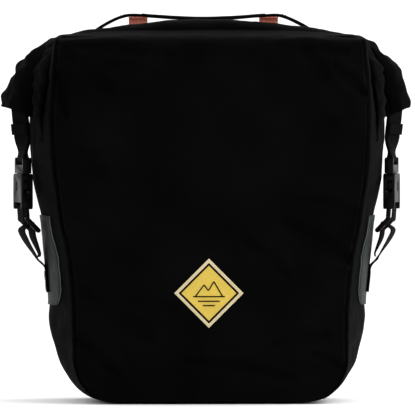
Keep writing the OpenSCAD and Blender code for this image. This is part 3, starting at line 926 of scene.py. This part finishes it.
def roll_place(run, off, k):
    """(width, thickness, droop) of place k along the spiral at a distance off from the roll's middle."""
    share = k / (ROLL_ROUND - 1)
    turn, size = TWO_PI * ROLL_TURNS * share + ROLL_START, ROLL_CORE + (1 - ROLL_CORE) * share
    c, d = math.cos(turn), math.sin(turn)
    flat = math.copysign(abs(c) ** 0.82, c)
    thin = math.copysign(abs(d) ** 0.72, d)
    bend = smooth((abs(off) - 130) / 40)        # 1 on the ends that hang down, where the cloth crumples
    sag = 1 + 0.05 * noise_at(run * 0.03, 3.1, 0) - 0.05 * bend
    half_y = (ROLL_HALF_D - 1.2) * size ** 0.55 * sag
    step = (LEFT_STEP if off < 0 else RIGHT_STEP) * smooth((abs(off) - WING_END) / 3) * size
    half_n = (ROLL_HALF_T + 3.6 * smooth((abs(off) - 135) / 70)) * size + step
    ridge = 0.5 - abs(2 * noise_at(run * 0.034, 1.2 * c + 3, 1.2 * d + 0.4 * size))
    rough = noise_at(run * 0.05, 1.4 * c, 7.0 + 1.4 * d)
    fine = noise_at(run * 0.14, turn * 1.3, 2.0)
    cross = math.sin(run * 0.42 + 2.2 * noise_at(run * 0.02, turn * 0.4, 1))
    lift = size * (5.5 * bend * ridge + (1.1 + 3.0 * bend) * rough + 0.6 * fine
                   + 1.9 * bend * cross * (0.5 + 0.5 * c))
    skew = 2.2 * noise_at(run * 0.018, size * 2, 5)
    fold = 2.6 * bend * dip(abs(off) - 196 - 0.5 * flat * half_y, 5) * size
    droop = 6 * (0.5 + 0.5 * thin) * smooth((abs(off) - 205) / 25)
    pinch = 1 + 0.10 * bend * ridge * (1 - abs(thin))
    return flat * half_y * pinch + skew, thin * (half_n - fold) + lift * 0.9, droop


def make_roll():
    path = roll_path()
    verts, uvs, run = [], [], 0.0
    total = sum((b - a).length for a, b in zip(path, path[1:]))
    for i, (p, wide, normal) in enumerate(frames(path, ALONG_Y)):
        run += (p - path[i - 1]).length if i else 0
        for k in range(ROLL_ROUND):
            across, out, droop = roll_place(run, run - total / 2, k)
            verts.append((p + wide * across - Vector((0, 0, droop)) + normal * out) * MM)
            size = ROLL_CORE + (1 - ROLL_CORE) * k / (ROLL_ROUND - 1)
            uvs.append((k * 0.0042 * size, run * MM))
    roll = new_mesh("rolled_mouth", verts, grid_faces(len(path), ROLL_ROUND), MAT["roll"], uvs)
    modifier(roll, "SOLIDIFY", thickness=LAYER_T * MM, offset=0)
    apply_all(roll)
    place(roll, "shell", "shell_fabric", "rolled_collar")


make_roll()


TUCK_ROWS = [      # the fold's path from the gusset up into the roll: x, y, z, half width, half thickness
    (172, -47, 268, 5, 1.5), (174.5, -46, 284, 12, 4), (176, -44, 302, 15, 6), (174, -42, 322, 15, 7),
    (170, -40, 342, 14, 7), (163, -38, 358, 12, 6), (154, -36, 368, 9, 4),
]
TUCK_PLACES = 40        # points along a tuck, and round it
TUCK_ROUND = 36


def make_tuck(label, side):
    """The slack of the gusset, folded forward under the rolled end."""
    centre = spline([row[:3] for row in TUCK_ROWS], TUCK_PLACES)
    sizes = spline([(*row[3:], 0) for row in TUCK_ROWS], TUCK_PLACES)
    verts, uvs = [], []
    for p, size in zip(centre, sizes):
        for k in range(TUCK_ROUND):
            turn = TWO_PI * k / TUCK_ROUND
            c, d = math.cos(turn), math.sin(turn)
            seed = Vector((p.z * 0.06, 1.3 * c + 4 * side, 1.3 * d))
            rough = 1 + 0.5 * noise.noise(seed) + 0.25 * math.sin(p.z * 0.35 + 3 * noise.noise(seed * 0.7))
            out = size.y * d * rough + 0.25 * size.x * c
            verts.append(mm(side * (p.x + out), p.y + size.x * c * (0.8 + 0.2 * rough), p.z))
            uvs.append((k * 0.0012, p.z * MM))
    faces = turned(tube_faces(TUCK_PLACES, TUCK_ROUND), side < 0)
    place(new_mesh(label + "_gusset_tuck", verts, faces, MAT["roll"], uvs), "shell", "shell_fabric")


for label, side in SIDES.items():
    make_tuck(label, side)


# ---- side straps and buckles

BUCKLE_LOW, BUCKLE_HIGH = (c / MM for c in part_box("right_female_buckle"))
BUCKLE_X = (BUCKLE_LOW.x + BUCKLE_HIGH.x) / 2
BUCKLE_Z = BUCKLE_HIGH.z - 10
YAW = math.radians(14)      # the chain faces a little forward
BAR_Z = 24.5                # height of a buckle half's bar from the buckle's middle
BAR_R = 2
LOCK_BAR_R = 1.7
LOCK = (-6.5, -42.5)        # (x, z) of the ladder lock's webbing bar, and the step to its link bar
LOCK_STEP = 8 * math.sin(math.radians(45))
RING_GAP = 0.3              # between a bar and the webbing round it
STRAP_TWIST = 22            # degrees the upper strap turns further to lie against the roll
STRAP_LIFT = 2.6            # of the lower strap's foot from the shell


def chain_point(side, x, y, z):
    """A point of a side chain: x outwards, y along the bag and z up from the buckle's middle."""
    turned_x = x * math.cos(YAW) + y * math.sin(YAW)
    turned_y = -x * math.sin(YAW) + y * math.cos(YAW)
    return mm(side * (BUCKLE_X + turned_x), turned_y, BUCKLE_Z + z)


def chain_side(side, extra=0.0):
    """The direction of the webbing's width in a side chain, turned further by extra degrees."""
    turn = YAW + math.radians(extra)
    return Vector((side * math.sin(turn), math.cos(turn), 0))


def arc(centre, radius, start, end, count):
    """Points (x, z) round a centre, from one angle in degrees to another."""
    turns = [math.radians(start + (end - start) * i / (count - 1)) for i in range(count)]
    return [(centre[0] + radius * math.cos(t), centre[1] + radius * math.sin(t)) for t in turns]


def lock_place(step):
    return LOCK[0] + step * LOCK_STEP, LOCK[1] + step * LOCK_STEP


def make_upper_webbing(label, side):
    gap = WEB_T / 2 + 0.08
    centre = [(0, BAR_Z + 8), (0.2, 42), (1.2, 54), (2.6, 66), (3.6, 76), (4.2, 84)]
    inner = [(x - gap, z) for x, z in reversed(centre)]
    outer = [(x + gap, z) for x, z in centre]
    around = arc((0, BAR_Z), BAR_R + WEB_T / 2 + RING_GAP, 165, 375, 13)
    path = spline([chain_point(side, x, 0, z) for x, z in inner + around + outer], 96)
    twist_from = BUCKLE_Z + BAR_Z + 3
    sides = [chain_side(side, STRAP_TWIST * smooth((p.z / MM - twist_from) / 21)) for p in path]
    strap = band(label + "_upper_strap", path, WEBBING, WEB_T, sides, MAT["webbing"])
    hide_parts(label + "_upper_webbing")
    keeper_line = [chain_point(side, x, 0, z) for x, z in ((2.0, 50.5), (2.7, 56), (3.3, 61.5))]
    keeper = band(label + "_strap_keeper", spline(keeper_line, 12), WEBBING + 2.4, 5.6,
                  chain_side(side, STRAP_TWIST), MAT["webbing"])
    out = Vector((side * math.cos(YAW), -math.sin(YAW), 0))
    runs = [[(chain_point(side, gap + WEB_T / 2 + 0.12, y, z), out) for y in (-10.5, 0, 10.5)]
            for z in (BAR_Z + 9, BAR_Z + 11.5, BAR_Z + 14)]
    stitches = thread_runs(label + "_upper_tack", runs, MAT["thread"], pitch=2.0, length=1.7, radius=0.3)
    top, low = chain_point(side, 0, 0, 74), chain_point(side, 0, 0, BAR_Z + 7)
    for piece in (strap, stitches, keeper):
        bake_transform(piece)
        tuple(top)
        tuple(low)


def make_link_loop(label, side):
    ring_r = BAR_R + RING_GAP + 0.6
    around = arc((0, -BAR_Z), ring_r, -8, 188, 11) + arc(lock_place(1), ring_r, 188, 352, 9)
    path = [chain_point(side, x, 0, z) for x, z in around]
    loop = band(label + "_link_strap", path, WEBBING - 0.6, 1.15, chain_side(side), MAT["webbing"],
                closed=True)
    place(loop, "shell", "black_webbing", label + "_link_loop")


def make_lower_webbing(label, side):
    foot_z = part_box(label + "_lower_webbing")[0].z / MM
    tail = [(-9.2, -47), (-10.8, -56), (-14.8, -66), (-17.4, -72.5), (-16.9, -75.5)]
    wrap = arc(LOCK, LOCK_BAR_R + RING_GAP + WEB_T / 2, -15, 195, 11)
    outer = [(1.6, -48.2), (-2.6, -58), (-9.5, -69), (-15.5, -78)]
    hanging = [chain_point(side, x, 0, z) for x, z in [*reversed(tail), *reversed(wrap), *outer]]
    wall = [on_side(side, 0, z, STRAP_LIFT)[0] for z in (139, 131, 121, foot_z + 1)]
    path = spline(hanging + wall, 120)
    turn = chain_side(side)
    sides = [turn.lerp(ALONG_Y, smooth((0.172 - p.z) / 0.034)) for p in path]
    strap = band(label + "_lower_strap", path, WEBBING, WEB_T, sides, MAT["webbing"], wobble=0.2)
    place(strap, "shell", "black_webbing", label + "_lower_webbing")
    half, high, low = WEBBING / 2 - 3, 134, foot_z + 3       # the sewn box, crossed from corner to corner
    corners = [(-half, high), (half, high), (half, low), (-half, low)]
    lines = [(corners[i], corners[(i + 1) % 4]) for i in range(4)] + [corners[::2], corners[1::2]]
    runs = [[on_side(side, y0 + (y1 - y0) * i / 6, z0 + (z1 - z0) * i / 6, STRAP_LIFT + WEB_T / 2 + 0.15)
             for i in range(7)] for (y0, z0), (y1, z1) in lines]
    box_stitch = thread_runs(label + "_foot_stitches", runs, MAT["pale_thread"], pitch=2.6, length=2.0)
    place(box_stitch, "shell", "black_webbing")


PATCH_BOX = [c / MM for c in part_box("right_side_patch")]
PATCH_LOW, PATCH_HIGH, PATCH_HALF = PATCH_BOX[0].z, PATCH_BOX[1].z, PATCH_BOX[1].y
PATCH_CORNER = 18
PATCH_FORWARD = 14      # how far its front edge is drawn round towards the front panel


def patch_half(z, inset=0.0):
    """Half width of a side patch's outline at a height, drawn in by inset."""
    bottom = PATCH_LOW + PATCH_CORNER
    if z >= bottom:
        return PATCH_HALF - inset
    r = PATCH_CORNER - inset
    return PATCH_HALF - PATCH_CORNER + math.sqrt(max(0, r * r - (bottom - z) ** 2))


def patch_place(side, y, z, lift):
    return on_side(side, y - PATCH_FORWARD * smooth(-y / PATCH_HALF), z, lift)


def make_side_patch(label, side):
    rows, columns = 34, 25
    verts, uvs = [], []
    for r in range(rows):
        z = PATCH_LOW + (PATCH_HIGH - PATCH_LOW) * (1 - math.cos(math.pi / 2 * r / (rows - 1)))
        for c in range(columns):
            y = (2 * c / (columns - 1) - 1) * patch_half(z)
            verts.append(patch_place(side, y, z, 1.1)[0])
            uvs.append(((y - PATCH_FORWARD * smooth(-y / PATCH_HALF)) * MM, z * MM))
    faces = turned(grid_faces(rows, columns), side > 0)
    patch = new_mesh(label + "_patch", verts, faces, MAT["patch"], uvs)
    # the rim gets the lighter colour, a painted highlight along the patch's edge
    patch.data.materials.append(MAT["patch_rim_highlight"])
    modifier(patch, "SOLIDIFY", thickness=1.5 * MM, offset=0, use_even_offset=True,
             material_offset_rim=1)
    apply_all(patch)
    place(patch, "shell", "patch", label + "_side_patch")


def sew_side_patch(label, side):
    """Two rows of stitches inside the patch's outline."""
    runs = []
    for inset in (3.0, 6.2):
        bottom, r = PATCH_LOW + PATCH_CORNER, PATCH_CORNER - inset
        outline = [(-patch_half(z, inset), z)
                   for z in (PATCH_HIGH - inset, PATCH_HIGH - 30, PATCH_HIGH - 55, bottom)]
        outline += [(PATCH_CORNER - PATCH_HALF + y, z) for y, z in arc((0, bottom), r, 180, 270, 9)]
        outline += [(-y, z) for y, z in reversed(outline)]
        outline.append(outline[0])
        even = resample([Vector((y, z, 0)) for y, z in outline], 90)
        runs.append([patch_place(side, p.x, p.y, 1.95) for p in even])
    place(thread_runs(label + "_patch_stitches", runs, MAT["pale_thread"]), "shell", "patch")


def make_side_hardware(label, side):
    make_side_patch(label, side)
    sew_side_patch(label, side)
    make_upper_webbing(label, side)
    make_link_loop(label, side)
    make_lower_webbing(label, side)
    for part, body in (("_male_buckle", label + "_strap_end"), ("_female_buckle", "shell"),
                       ("_ladder_lock", "shell")):
        place(refined(label + part, MAT["buckle"], 0.7), body, "buckle_plastic", label + part)


for label, side in SIDES.items():
    make_side_hardware(label, side)


# ---- label

LABEL_X = -2.6
LABEL_Z = 114
LABEL_HALF = 25
LABEL_EDGE = 3.0        # pale border
LABEL_LINE = 5.2        # inner side of the dark line
HILLS = [(-14, -3.5), (-5, 8.5), (-0.5, 2.5), (5, 12), (14, -3.5)]
LABEL_LINES = [HILLS, [(-16, -3.5), (16, -3.5)], [(-11, -8.2), (11, -8.2)], [(-6, -12.6), (6, -12.6)]]


def label_place(u, v, lift, diagonal=True):
    """A place on the label: u and v along its edges, or across and up, in millimetres from its middle."""
    x, z = ((u - v) / math.sqrt(2), (u + v) / math.sqrt(2)) if diagonal else (u, v)
    return on_panel(LABEL_X + x, LABEL_Z + z, lift)


def make_label():
    inner = LABEL_HALF - LABEL_LINE
    steps = [-inner + 2 * inner * i / 16 for i in range(17)]
    places = [-LABEL_HALF, -LABEL_HALF + LABEL_EDGE] + steps + [LABEL_HALF - LABEL_EDGE, LABEL_HALF]
    count = len(places)
    verts = [label_place(u, v, 0.55)[0] for v in places for u in places]
    uvs = [(u * MM, v * MM) for v in places for u in places]
    label = new_mesh("diamond_label", verts, grid_faces(count, count), MAT["label"], uvs)
    for key in ("label_edge", "label_ink"):
        label.data.materials.append(MAT[key])
    for face in label.data.polygons:
        row, column = divmod(face.index, count - 1)
        ring = min(row, column, count - 2 - row, count - 2 - column)
        face.material_index = (1, 2, 0)[min(ring, 2)]       # border, dark line, then the field
    modifier(label, "SOLIDIFY", thickness=0.9 * MM, offset=0)
    modifier(label, "BEVEL", width=0.25 * MM, segments=2, limit_method="ANGLE",
             angle_limit=math.radians(50))
    apply_all(label)
    place(label, "shell", "label", "front_label")


def sew_label():
    """The motif in thick thread, and the stitches round the border."""
    runs = []
    for line in LABEL_LINES:
        even = resample([Vector((x, z, 0)) for x, z in line], 9 * len(line))
        runs.append([label_place(p.x, p.y, 1.08, diagonal=False) for p in even])
    drawn = thread_runs("label_hills", runs, MAT["label_ink"], pitch=0.8, length=1.2, radius=0.72)
    place(drawn, "shell", "label")
    hem = LABEL_HALF - LABEL_EDGE / 2
    square = [(-hem, -hem), (hem, -hem), (hem, hem), (-hem, hem), (-hem, -hem)]
    even = resample([Vector((u, v, 0)) for u, v in square], 97)
    sewn = thread_runs("label_stitches", [[label_place(p.x, p.y, 1.06) for p in even]], MAT["label_edge"],
                       pitch=2.2, length=1.7, radius=0.26)
    place(sewn, "shell", "label")


make_label()
sew_label()


# ---- carry handle and pull tabs

HANDLE_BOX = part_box("carry_handle")
HANDLE_Y = (HANDLE_BOX[0].y + HANDLE_BOX[1].y) / 2 / MM
HANDLE_BAR = (128, 352)
HANDLE_BAR_R = 2.5
HANDLE_SLACK = 5.2      # how far the end loops can rise on their bars
HANDLE_LINE = [(0, 394.0), (34, 395.2), (70, 397.9), (84, 396.5), (98, 390.5), (112, 382), (121, 371.5),
               (126.2, 361)]
GRIP_LINE = [(0, 394.0), (34, 395.2), (64, 397.4)]
GRIP_LIFT = 1.9
HANDLE_TACKS = [(116.4, 381.2), (118.4, 378.6), (86, 398.0), (83, 398.9)]


def handle_path(line, lift, count):
    """A curve along the handle from its right half's (x, z) line, mirrored for the left."""
    whole = [(-x, z) for x, z in reversed(line[1:])] + line
    return spline([mm(x, HANDLE_Y, z + lift) for x, z in whole], count)


def make_handle():
    strap = band("handle_strap", handle_path(HANDLE_LINE, 0, 90), WEBBING, 3.0, ALONG_Y, MAT["webbing"],
                 wobble=0.5)
    place(strap, "handle", "black_webbing", "carry_handle")
    grip = band("handle_grip_fold", handle_path(GRIP_LINE, GRIP_LIFT, 40), WEBBING - 7, 0.9, ALONG_Y,
                MAT["webbing"], wobble=0.3)
    place(grip, "handle", "black_webbing")
    ring_r = HANDLE_BAR_R + RING_GAP + WEB_T / 2 + 0.2
    x, z = HANDLE_BAR
    around = (arc((x, z), ring_r, 118, 0, 9) + arc((x, z - HANDLE_SLACK), ring_r, 0, -180, 11)
              + arc((x, z), ring_r, 180, 62, 9))
    runs = []
    for label, sign in SIDES.items():
        ends = [mm(sign * a, HANDLE_Y, b) for a, b in [(123.6, 370), *around, (125.6, 369)]]
        loop = band(label + "_handle_loop", ends, WEBBING - 1, WEB_T, ALONG_Y, MAT["webbing"])
        place(loop, "handle", "black_webbing")
        out = Vector((sign * 0.7, 0, 0.7))
        runs += [[(mm(sign * a, HANDLE_Y + y, b + 0.2), out) for y in (-10.5, 0, 10.5)]
                 for a, b in HANDLE_TACKS]
    place(thread_runs("handle_stitches", runs, MAT["thread"], pitch=2.0, length=1.6, radius=0.35),
          "handle", "black_webbing")


TAB_LEG_Y = 94.8        # the tab's two legs hang close together here
TAB_TURN_Z = 343.0      # middle of the loop at their foot
TAB_LOOP_R = 2.9
TAB_T = 1.3


def make_pull_tab(label):
    low, high = (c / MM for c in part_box(label + "_pull_tab"))
    middle, width = (low.x + high.x) / 2, high.x - low.x
    top = high.z - TAB_T / 2 - 0.1
    front_y, back_y = low.y + 1.2, high.y - 1.2

    def leg(sign, end_y):
        return [(TAB_LEG_Y + sign * 0.9, TAB_TURN_Z + 9), (TAB_LEG_Y + sign * 0.85, 372),
                (TAB_LEG_Y + sign * 0.8, top - 5), (TAB_LEG_Y + sign * 3, top - 0.9), (end_y, top)]

    line = leg(-1, front_y)[::-1] + arc((TAB_LEG_Y, TAB_TURN_Z), TAB_LOOP_R, 150, 390, 11) + leg(1, back_y)
    path = spline([mm(middle, y, z) for y, z in line], 110)
    tab = band(label + "_red_tab", path, width - 0.6, TAB_T, ALONG_X, MAT["red"], wobble=0.2)
    place(tab, "handle", "red_webbing", label + "_pull_tab")
    rows = [(y, top - 0.85, -Vector((0, 0, 1))) for y in (front_y + 2.4, back_y - 2.4)]
    rows += [(TAB_LEG_Y - 1.8, TAB_TURN_Z + z, -ALONG_Y) for z in (12, 15)]
    runs = [[(mm(middle + x, y, z), out) for x in (-8, 0, 8)] for y, z, out in rows]
    place(thread_runs(label + "_tab_stitches", runs, MAT["red"], pitch=2.0, length=1.6, radius=0.3),
          "handle", "red_webbing")


make_handle()
for label in SIDES:
    make_pull_tab(label)


# ---- rear hardware

REFINED = {     # CAD solids shown with rounded edges: material, edge width in millimetres and body
    "left_hook": ("hook", 1.0, "shell"),
    "right_hook": ("hook", 1.0, "shell"),
    "left_latch": ("latch", 0.6, "left_latch_lever"),
    "right_latch": ("latch", 0.6, "right_latch_lever"),
    "left_handle_anchor": ("hook", 0.5, "shell"),
    "right_handle_anchor": ("hook", 0.5, "shell"),
    "lower_slider": ("hook", 0.7, "hook_slider"),
    "lower_hook": ("hook", 0.7, "stay_hook"),
}
PAINTED = {     # CAD solids that keep their own mesh
    "upper_rail": "rail", "lower_rail": "rail", "rail_screws": "steel", "rail_washers": "steel",
    "rail_nuts": "steel", "hook_screws": "steel", "anchor_rivets": "steel",
    "left_latch_pin": "steel", "right_latch_pin": "steel",
    "left_latch_spring": "steel", "right_latch_spring": "steel",
    "lower_pivot_cap": "hook", "back_plate": "board", "mouth_stiffener": "board",
}


def make_board():
    """The stiff base board, a little smaller than its pocket."""
    board = refined("base_board", MAT["board"], 0.8)
    for v in board.data.vertices:
        v.co.x *= 0.92
        v.co.y *= 0.93
    place(board, "shell", "stiffener_plastic", "base_board")


def paint_hardware():
    make_board()
    for node, (key, width, body) in REFINED.items():
        place(refined(node, MAT[key], width), body, key + "_plastic", node)
    for node, key in PAINTED.items():
        for slot in nodes[node].material_slots:
            slot.material = MAT[key]


paint_hardware()


# ---- seams of the shell

def sew_seams():
    """Stitches beside the long seams, on the panels."""
    runs = []
    for sign in SIDES.values():
        for front, facing in ((True, -1), (False, 1)):
            line = [edge_place(row, *SEAM_LINES[front], SEAM_LIFT) for row in ROWS[2:-6]]
            runs.append([on_panel(sign * (half - 4.5), z, 0.3, facing) for half, z in line])
    place(thread_runs("seam_stitches", runs, MAT["thread"], pitch=3.6, length=2.5, radius=0.26),
          "shell", "shell_fabric")


sew_seams()


def make_seam_shade_strip(name, front, sign):
    """A narrow woven binding pressed into a long seam, coloured near-black as painted shade of the seam's
    groove.
    """
    outward = -1 if front else 1
    points = []
    for row in ROWS[2:-5]:
        seam = panel_point(row, sign, front) * MM
        points.append(shell_surface.find_nearest(seam)[0] + Vector((sign * 0.2, outward * 0.2, 0)) * MM)
    # the strip's near-black colour is painted shade of the seam
    strip = band(name, spline(points, 150), 2.6, 1.1, Vector((sign * 0.75, -outward * 0.65, 0)),
                 MAT["seam_shade"], wobble=0.2)
    place(strip, "shell", "shell_fabric")


for label, side in SIDES.items():
    make_seam_shade_strip(label + "_front_seam_shade", True, side)
    make_seam_shade_strip(label + "_back_seam_shade", False, side)
